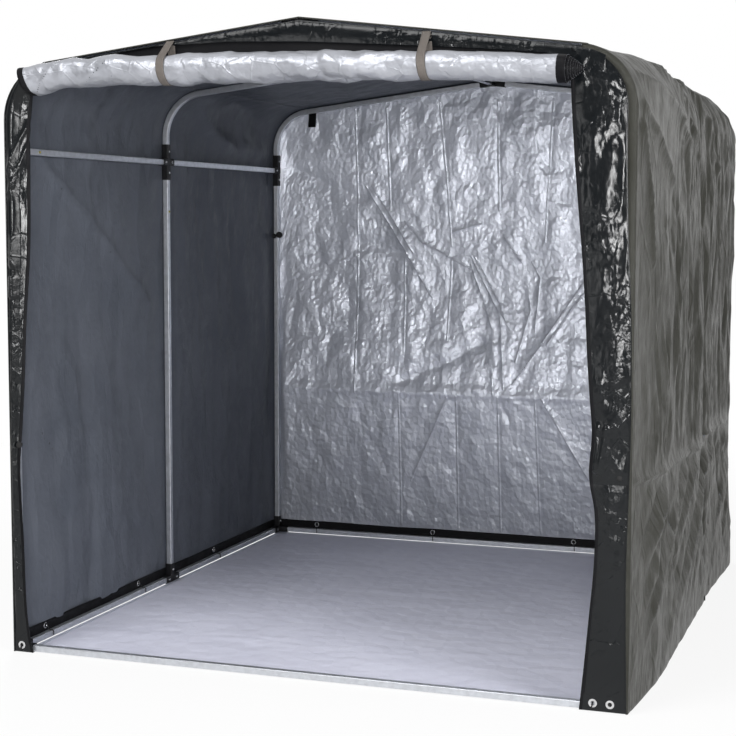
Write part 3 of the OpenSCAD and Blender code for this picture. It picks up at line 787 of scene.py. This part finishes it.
def right_crinkles(x, z, t, plain):
    """Bulged strip, broken into glossy facets down to the knot, and smooth below it."""
    bulge = 0.011 * np.sin(math.pi * t) * (0.75 + 0.25 * noise(z / 0.3, t, 51))
    broken = 0.0050 * noise(x / 0.045, z / 0.13, 52) + 0.17 * foil(x, z, 0.014, 53, 1.8)
    patch = smooth(0.55 + 0.8 * noise(z / 0.22, t * 1.6, 54) + 0.5 * (0.5 - t))
    upper = smooth((z - 0.66) / 0.08)
    knot = hump(z - 0.78, 0.10)
    low_marks = hump(z - 0.60, 0.03) + 0.6 * hump(z - 0.44, 0.03)
    out = bulge + plain * broken * (0.06 + upper * (0.30 + 0.85 * patch) + 0.5 * knot + 0.5 * low_marks)
    out = out - 0.003 * peak(z - 0.69, 0.02)
    return out + 0.008 * creases(x, z, RIGHT_KNOT, 0.008)


# Folds of the front flaps, as (x, height) points, and the slope at which the left one is turned back
RIGHT_KNOT = [[(0.95, 0.71), (0.965, 0.80), (0.975, 0.87)], [(0.94, 0.71), (0.945, 0.80), (0.95, 0.88)]]
LEFT_PULLS = [[(1.045, 1.60), (1.00, 1.72), (0.96, 1.80)], [(1.045, 1.52), (1.0, 1.64), (0.955, 1.76)],
              [(1.03, 1.30), (1.02, 1.42)], [(1.035, 1.20), (1.03, 1.28)]]
FOLD_SLOPE = 0.57


def left_crinkles(x, z, t, plain):
    """Strip folded back round the post: smooth and dark outside, broken and glossy along the fold."""
    upper = smooth((z - 0.62) / 0.15)
    past = (x[:, :1] - x[:, -1:]) * np.maximum(t - 0.32, 0)
    fold = 0.008 * np.sin(math.pi * np.minimum(t / 0.6, 1)) - FOLD_SLOPE * past * upper
    broken = 0.0015 * noise(x / 0.04, z / 0.12, 62) + 0.08 * foil(x, z, 0.016, 63, 1.7)
    patch = smooth(0.6 + 0.7 * noise(z / 0.25, t, 64))
    zone = smooth((t - 0.34) / 0.12) * upper * (0.45 + 0.55 * patch)
    out = fold + plain * broken * (0.05 + zone)
    return out + 0.007 * creases(x, z, LEFT_PULLS, 0.010)


right_flap = front_flap("right_flap", 1, RIGHT_INNER, RIGHT_SEAM, right_crinkles, "right_front_flap")
left_flap = front_flap("left_flap", -1, LEFT_INNER, LEFT_SEAM, left_crinkles, "left_front_flap")

# Drop of the valance's lower edge below the roof line, from left to right
VALANCE_DROP = [(-0.96, 0.010), (-0.5, 0.010), (-0.23, 0.037), (0, 0.074), (0.235, 0.060), (0.41, 0.050), (0.58, 0.042),
                (0.78, 0.036), (0.96, 0.06)]
VALANCE_HALF, VALANCE_TOP = 0.955, 0.009


def valance():
    """Crumpled strip under the roof's edge, above the rolled door."""
    columns, rows = GRID["valance"]
    x = np.linspace(-VALANCE_HALF, VALANCE_HALF, columns)[None, :]
    top = roof_z(x) - VALANCE_TOP
    t = np.linspace(0, 1, rows)[:, None]
    z = top - t * (ramp(x, VALANCE_DROP) - 0.006)
    broken = 0.08 * foil(x, z, 0.055, 71, 0.6) + 0.20 * foil(x, z, 0.014, 72, 0.8)
    patch = smooth(0.3 + 0.9 * noise(x / 0.16, t, 73))
    toward = broken * (0.1 + 0.9 * patch) + 0.0032 * np.sin(math.pi * t) + 0.004 * t
    y = FRONT_Y + 0.001 - toward * smooth(t / 0.2)
    obj = cloth("valance", points_at(x, y, z), [GLOSS, SHADED_LINING], FLAP_T)
    place_piece(obj, "cover", "front_valance")


valance()


# Rolled door: one sheet from the gable down behind the roll, and wound up from underneath

# Height of the roll's axis and its radius, from left to right
ROLL_AXIS = [(-0.95, 1.906), (-0.86, 1.918), (-0.77, 1.929), (-0.4, 1.932), (0.1, 1.930), (0.45, 1.920), (0.8, 1.902),
             (0.95, 1.896)]
ROLL_RADIUS = [(-0.95, 0.050), (0.1, 0.0485), (0.5, 0.045), (0.95, 0.042)]
ROLL_TURNS, ROLL_CORE, ROLL_R, DOOR_HEM_W = 9, 0.006, 0.05, 0.023
ROLL_LEFT, ROLL_RIGHT = -0.928, 0.850
STRAP_X = {side: middle(f"{side}_door_strap").x for side in ("left", "right")}
STRAP_W = high("left_door_strap").x - low("left_door_strap").x
STRAP_SLANT, STRAP_GAP = -0.10, 0.0022
LEAD_Y = FRONT_Y + 0.0042


def near_straps(x, width):
    return sum(hump(x - place, width) for place in STRAP_X.values())


def roll_pinch(x):
    """Share of the roll's radius that a strap leaves."""
    return 1 - 0.07 * near_straps(x, 0.022)


# Crumpling along the roll, and its folds as (x, arc) points, the arc measured from the back under the roll
ROLL_CRUMPLE = [(-0.95, 1.0), (-0.5, 0.9), (-0.3, 0.9), (0, 1.3), (0.35, 1.3), (0.48, 0.5), (0.95, 0.3)]
ROLL_FOLDS = [[(-0.886, 0.09), (-0.84, 0.15), (-0.79, 0.21)], [(-0.70, 0.11), (-0.64, 0.16), (-0.60, 0.20)],
              [(-0.60, 0.12), (-0.585, 0.20)], [(0.02, 0.12), (0.14, 0.16), (0.20, 0.20)],
              [(0.10, 0.20), (0.19, 0.15), (0.30, 0.13)], [(0.22, 0.12), (0.34, 0.17)], [(-0.20, 0.11), (-0.18, 0.17)]]


def door():
    fine_turns, fine_steps, coarse_steps, lead_rows = 1.25, 46, 10, 10
    turn = np.concatenate([np.linspace(0, fine_turns, int(fine_turns * fine_steps), endpoint=False),
                           np.linspace(fine_turns, ROLL_TURNS, int((ROLL_TURNS - fine_turns) * coarse_steps))])
    turn = 2 * math.pi * turn[:, None]
    share = turn / turn[-1]
    t = np.linspace(0, 1, DOOR_COLUMNS)[None, :]
    left_end = ROLL_LEFT + 0.021 * np.sin(turn)
    right_end = ROLL_RIGHT + 0.055 * share ** 0.8
    x = left_end + t * (right_end - left_end)
    radius = curve(x, ROLL_RADIUS) * roll_pinch(x)
    arc = turn % (2 * math.pi) * ROLL_R
    dents = 0.22 * foil(x, arc, 0.10, 83, 0.8) + 0.11 * foil(x, arc, 0.036, 84)
    dents = dents * ramp(x, ROLL_CRUMPLE) + 0.0025 * noise(x / 0.18, arc / 0.06, 82)
    dents = dents + 0.004 * creases(x, arc, ROLL_FOLDS, 0.008)
    dents = dents + sum(0.003 * star(x, arc, (place, 0.157), 10, 0.11, 0.007, 85) for place in STRAP_X.values())
    r = ROLL_CORE + (radius - ROLL_CORE) * (1 - share) - 0.0016 * smooth(turn / (2 * math.pi) - 1)
    untied = 1 - np.minimum(near_straps(x, 0.024), 1)
    r = r + dents * untied * smooth(np.abs(np.sin(turn / 2)) / 0.3) * (1 - share) ** 2
    wound = points_at(x, ROLL_Y + r * np.cos(turn), curve(x, ROLL_AXIS) - r * np.sin(turn))
    s = np.linspace(0, 1, lead_rows, endpoint=False)[:, None]
    hung_top = roof_z(x[0]) - 0.012
    hung = points_at(x[0], LEAD_Y + s ** 2 * (wound[0, :, 1] - LEAD_Y), hung_top + s * (wound[0, :, 2] - hung_top))
    grid = np.concatenate([hung, wound])
    from_left = np.linalg.norm(np.diff(grid, axis=1), axis=2).cumsum(axis=1)[:-1]
    hem = (from_left < DOOR_HEM_W) | (from_left > from_left[:, [-1]] - DOOR_HEM_W)
    obj = cloth("door", grid[:, ::-1], [ROLLED, HEM], DOOR_T, front_marks=np.where(hem, 1, 0)[:, ::-1])
    place_piece(obj, "door", "door_roll")


door()


def door_strap(name, place_x):
    """Webbing loop from the roof's edge round the roll."""
    radius = float(curve(place_x, ROLL_RADIUS) * roll_pinch(place_x)) + STRAP_GAP
    centre = np.array([ROLL_Y, float(curve(place_x, ROLL_AXIS))])
    top = np.array([FRONT_Y - STRAP_GAP, float(roof_z(place_x)) - 0.006])
    away = top - centre
    distance = np.linalg.norm(away)
    heading = math.atan2(away[1], away[0])
    spread_angle = math.acos(radius / distance)
    first, last = heading + spread_angle, heading - spread_angle + 2 * math.pi
    arc = np.linspace(first, last, 60)
    ring = centre + radius * np.stack([np.cos(arc), np.sin(arc)], axis=1)
    drop = np.linspace(0, 1, 14, endpoint=False)[:, None]
    path = np.concatenate([top + drop * (ring[0] - top), ring, ring[-1] + drop[1:] * (top - ring[-1])])
    across = np.linspace(-STRAP_W / 2, STRAP_W / 2, 7)
    x = place_x + across[None, :] + STRAP_SLANT * (path[:, 1] - centre[1])[:, None]
    obj = cloth(name, points_at(x, path[:, [0]], path[:, [1]]), [WEBBING, WEBBING], WEBBING_T)
    place_piece(obj, "webbing", name)


for strap_side, strap_x in STRAP_X.items():
    door_strap(f"{strap_side}_door_strap", strap_x)


# Floor sheet and the black hems inside the foot of the walls

def floor_sheet():
    lo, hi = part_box("floor_sheet")
    x, y = np.meshgrid(*(np.linspace(lo[k], hi[k], GRID["floor"][k]) for k in (0, 1)))
    inside = np.minimum(np.minimum(x - lo.x, hi.x - x), np.minimum(y - lo.y, hi.y - y))
    waves = 0.003 * noise(x / 0.35, y / 0.3, 91) + 0.0015 * pleats(y, x, 0.1, 92)
    packed = 0.004 * peak(y + 0.80 - 0.10 * (x + 0.8), 0.015) + 0.003 * sum(peak(x - c, 0.012) for c in (-0.35, 0.33))
    z = lo.z + 0.0017 + np.maximum(waves + packed, 0) * smooth(inside / 0.1)
    obj = cloth("floor_cloth", points_at(x, y, z)[:, ::-1], [GROUND, GROUND], FLOOR_T)
    place_piece(obj, "floor", "floor_sheet")


floor_sheet()


def hem_band(name, ends, place, node):
    """Black band from the ground to a little above the bars, between the cover and the frame."""
    columns, rows = GRID["hem"]
    along = np.linspace(*ends, columns)[None, :]
    z = np.linspace(0.003, HEM_Z + 0.002, rows)[:, None] + 0.0015 * noise(along / 0.2, 0.5, 95)
    depth = 0.0004 * noise(along / 0.1, z / 0.05, 96)
    obj = cloth(name, place(along, depth, z), [HEM, HEM], HEM_T)
    place_piece(obj, "hem", node)


HEM_X, HEM_Y = HALF_W - 0.0026, BACK_Y - 0.0026
for wall, sign in (("right", 1), ("left", -1)):
    hem_band(f"{wall}_hem_band", (FRONT_Y + 0.03, BACK_Y - 0.012),
             lambda a, d, z: points_at(sign * HEM_X + d, a, z), f"{wall}_hem")
hem_band("back_hem_band", (0.012 - HALF_W, HALF_W - 0.012), lambda a, d, z: points_at(a, HEM_Y + d, z), "back_hem")


# Small fittings: screws and snap buttons, hem eyelets with elastic hooks, ball ties, piping and a webbing tab

# Profiles as (radius, height), from the top of the head down into the plastic or the tube
SCREW = [(0.0001, 0.0013), (0.0015, 0.0013), (0.0019, 0.0026), (0.0030, 0.0026), (0.0041, 0.0018), (0.0046, 0.0006),
         (0.0046, -0.0008)]
BUTTON = [(0.0001, 0.0042), (0.0022, 0.0040), (0.0038, 0.0030), (0.0045, 0.0012), (0.0045, -0.0008)]
SCREW_PLACE = 0.6
SIDE_REACH, RAIL_REACH, FOOT_REACH, FOOT_BAR_REACH = 0.070, 0.044, 0.060, 0.054
BUTTONS = ((-0.973, RAIL_Z), (ARCH_Y[1], 1.497))


def frame_screws():
    screws = Fittings()
    for side in (-1, 1):
        face, axis = side * (POST_X - SLEEVE_HALF), (-side, 0, 0)
        for i, arch in enumerate(ARCH_Y):
            spots = [(arch, RAIL_Z + d * SCREW_PLACE * SIDE_REACH) for d in (-1, 1)]
            spots.append((arch, BAR_Z + SCREW_PLACE * FOOT_REACH))
            for d in (-1, 1):
                if 0 <= i + d < len(ARCH_Y):
                    spots += [(arch + d * SCREW_PLACE * RAIL_REACH, RAIL_Z),
                              (arch + d * SCREW_PLACE * FOOT_BAR_REACH, BAR_Z)]
            for y, z in spots:
                screws.turned(SCREW, (face, y, z), axis)
        for y, z in BUTTONS:
            screws.turned(BUTTON, (side * (POST_X - TUBE_HALF), y, z), axis, 1)
    place_piece(screws.build("frame_screws", [PLATED, BRASS]), "eyelet")


frame_screws()

HEM_EYELET_Z, HEM_EYELET_R, CORD_R = 0.042, 0.009, 0.0018
SIDE_TIES, BACK_TIES = (-0.946, -0.247, 0.45), (-0.84, -0.272, 0.384, 0.84)
POST_TIES = ((0, 0.71, 0.011), (2, 1.397, 0.015))
WALL_BALL_R = 0.011
FOOT_LOOPS = (-0.28, 0.40)


def hem_ties():
    """Eyelets in the hems, and elastic cords that hook them over the ground bars."""
    rings, cords = Fittings(), Fittings()
    top, inner = BAR_Z + TUBE_HALF + CORD_R, TUBE_HALF + CORD_R

    def tie(place):
        """Hook in a plane across the bar: place(offset inward from the bar's middle, along, z) gives a point."""
        gap = HEM_X - POST_X
        path = [(-gap, 0, HEM_EYELET_Z), (0.004 - gap, 0.002, HEM_EYELET_Z + 0.007), (-0.005, 0.004, 0.036),
                (0, 0.006, top + 0.0004), (0.009, 0.008, top), (inner, 0.009, top - 0.005), (inner, 0.010, 0.008)]
        cords.bent(soft_path([place(*p) for p in path], 28), CORD_R)

    for side in (-1, 1):
        for y in SIDE_TIES:
            rings.ring((side * (HEM_X - 0.0007), y, HEM_EYELET_Z), (-side, 0, 0), HEM_EYELET_R, 0.0022, squash=0.6)
            tie(lambda i, a, z: (side * (POST_X - i), y + a, z))
    for x in BACK_TIES:
        rings.ring((x, HEM_Y - 0.0007, HEM_EYELET_Z), (0, -1, 0), HEM_EYELET_R, 0.0022, squash=0.6)
        tie(lambda i, a, z: (x + a, ARCH_Y[2] - i, z))

    for mount in frame["record"]["mounts"]:
        if mount["kind"] == "bore" and "outer" not in mount["name"]:
            x, y, z = mount["pos_m"]
            over = x + 0.002
            path = [(x - 0.004, y - 0.006, z - 0.014), (x, y - 0.006, z - 0.002), (x, y + 0.0015, z + 0.001),
                    (over, y + 0.0055, z + 0.005), (over, ARCH_Y[0], top + 0.0015),
                    (over, ARCH_Y[0] + inner + 0.001, 0.02), (over, ARCH_Y[0] + inner, 0.006)]
            cords.bent(soft_path(path, 30), CORD_R)

    turn = np.linspace(0, 2 * np.pi, 41)
    square = [np.sign(f) * np.abs(f) ** 0.3 * inner for f in (np.cos(turn), np.sin(turn))]

    def ball(radius, place):
        bow = np.linspace(0, math.pi, 13)
        cords.turned([(max(radius * math.sin(a), 1e-4), radius * math.cos(a)) for a in bow], place, (0, 0, 1))

    for side in (-1, 1):
        for arch, z, radius in POST_TIES:
            y = ARCH_Y[arch]
            cords.bent(points_at(side * POST_X + square[0], y + square[1], z + 0.0015 * np.sin(turn)), CORD_R)
            ball(radius, (side * (POST_X - inner - 0.5 * radius), y - inner - 0.5 * radius, z))
            if arch > 0:
                ball(WALL_BALL_R, (side * (HALF_W - COVER_T - WALL_BALL_R), y - inner - WALL_BALL_R, z - 0.006))
        for y in FOOT_LOOPS:
            cords.ring((side * (HALF_W + 0.013), y, 0.010), (side, 0.2, 0), 0.008, 0.0022)
    place_piece(rings.build("hem_eyelets", [PLATED]), "eyelet")
    place_piece(cords.build("elastic_ties", [ELASTIC]), "webbing")


hem_ties()


def seam_piping():
    """Thin piping along the seams between the front flaps and the sides."""
    piping = Fittings()
    girth = np.linspace(0.004, SEAM_GIRTH - 0.01, 90)
    x, z, nx, nz = cover_line(girth)
    for side, seam in ((-1, LEFT_SEAM), (1, RIGHT_SEAM)):
        inset = curve(girth, seam)
        piping.bent(points_at(side * (x - inset * nx), FRONT_Y - 0.0006, z - inset * nz), PIPING_R)
    place_piece(piping.build("seam_piping", [GLOSS]), "cover")


seam_piping()


def rafter_tab():
    """Short webbing tab that hangs from the rear rafter."""
    width, length, place_x, face = 0.036, 0.085, -0.858, ARCH_Y[2] + TUBE_HALF + 0.0010
    top = float(roof_z(place_x)) - COVER_T - 0.002
    path = soft_path([(0, face, top), (0, face, top - 0.024), (0, face - 0.002, top - 0.05),
                      (0, face - 0.008, top - length)], 24)
    across = np.linspace(-width / 2, width / 2, 7)
    grid = path[:, None] + points_at(place_x + across, 0, 0)
    obj = cloth("rafter_tab", grid[::-1], [HEM, HEM], WEBBING_T)
    place_piece(obj, "webbing")


rafter_tab()


# Camera, light and floor

# Soft boxes: place, aim, size and power
LAMPS = {"key_softbox": ((1.7, -6.7, 1.7), (0, 0, 1.0), 1.2, 184),
         "side_softbox": ((5.6, -4.0, 2.4), (0, -0.3, 1.0), 2.6, 280),
         "rim_softbox": ((3.4, 4.2, 2.4), (1.05, 0, 1.0), 1.4, 14),
         "left_softbox": ((-2.8, -7.0, 1.5), (0.2, 0, 1.0), 2.0, 30),
         "top_softbox": ((-1.2, -3.8, 5.2), (0, -0.9, 0.3), 3.0, 165),
         "back_softbox": ((-4.0, 5.5, 3.2), (0, 0.5, 1.0), 2.4, 260)}
# Levels of the studio: a white backdrop, a dark room behind the camera, and soft light all round
BACKDROP_LIGHT, ROOM_LIGHT, SOFT_LIGHT = 1.0, 0.14, 0.20
GROUND_HALF, GROUND_DROP = 8, 0.0006
# Share of white in the ground near the object, where its shadow shows, and away from it
SHADOW_ENDS, SHADOW_WHITE = (1.6, 5.0), (0.86, 1.0)


def set_stage():
    data = bpy.data.cameras.new("camera")
    data.sensor_width, data.lens = SENSOR_MM, LENS_PX / IMAGE_PX * SENSOR_MM
    camera = new_object("camera", data)
    camera.location = EYE
    camera.rotation_euler = Euler((math.pi / 2 + EYE_PITCH, EYE_ROLL, EYE_YAW))
    bpy.context.scene.camera = camera

    for name, (place, aim, size, power) in LAMPS.items():
        light = bpy.data.lights.new(name, "AREA")
        light.shape, light.size, light.energy = "DISK", size, power
        obj = new_object(name, light)
        obj.location = place
        obj.rotation_euler = (Vector(aim) - Vector(place)).to_track_quat("-Z", "Y").to_euler()

    world = bpy.data.worlds.new("studio")
    bpy.context.scene.world = world
    world.use_nodes = True
    tree = world.node_tree
    path = add_node(tree, "LightPath")
    heading = add_node(tree, "SeparateXYZ", {0: add_node(tree, "TexCoord").outputs["Generated"]})
    mirrored = spread(tree, heading.outputs["Y"], -0.5, 0.3, ROOM_LIGHT, BACKDROP_LIGHT)
    strength = SOFT_LIGHT
    for kind, level in (("Glossy", mirrored), ("Transmission", BACKDROP_LIGHT), ("Camera", BACKDROP_LIGHT)):
        seen = path.outputs[f"Is {kind} Ray"]
        strength = add_node(tree, "Mix", {"Factor": seen, "A": strength, "B": level}).outputs["Result"]
    tree.links.new(strength, tree.nodes["Background"].inputs["Strength"])
    tree.nodes["Background"].inputs["Color"].default_value = (1, 1, 1, 1)

    size = GROUND_HALF
    mesh = bpy.data.meshes.new("ground")
    mesh.from_pydata([(-size, -size, 0), (size, -size, 0), (size, size, 0), (-size, size, 0)], [], [(0, 1, 2, 3)])
    ground = new_object("ground", mesh)
    ground.location.z = -GROUND_DROP
    item, tree, shader, coords = start_material("pale_ground", Roughness=0.9)
    shader.inputs["Base Color"].default_value = (0.9, 0.9, 0.9, 1)
    path = add_node(tree, "LightPath")
    glow = add_node(tree, "Emission", {"Color": (1, 1, 1, 1), "Strength": 1.0})
    away = vector_node(tree, "LENGTH", {0: coords.outputs["Object"]}, "Value")
    white = spread(tree, away, *SHADOW_ENDS, *SHADOW_WHITE)
    shown = path.outputs["Is Camera Ray"]
    for kind in ("Is Glossy Ray", "Is Transmission Ray"):
        shown = math_node(tree, "MAXIMUM", shown, path.outputs[kind])
    share = math_node(tree, "MULTIPLY", shown, white)
    mix = add_node(tree, "MixShader", {0: share, 1: shader.outputs["BSDF"], 2: glow.outputs["Emission"]})
    tree.links.new(mix.outputs["Shader"], tree.nodes["Material Output"].inputs["Surface"])
    mesh.materials.append(item)


set_stage()
bpy.context.scene.view_settings.view_transform = "Standard"
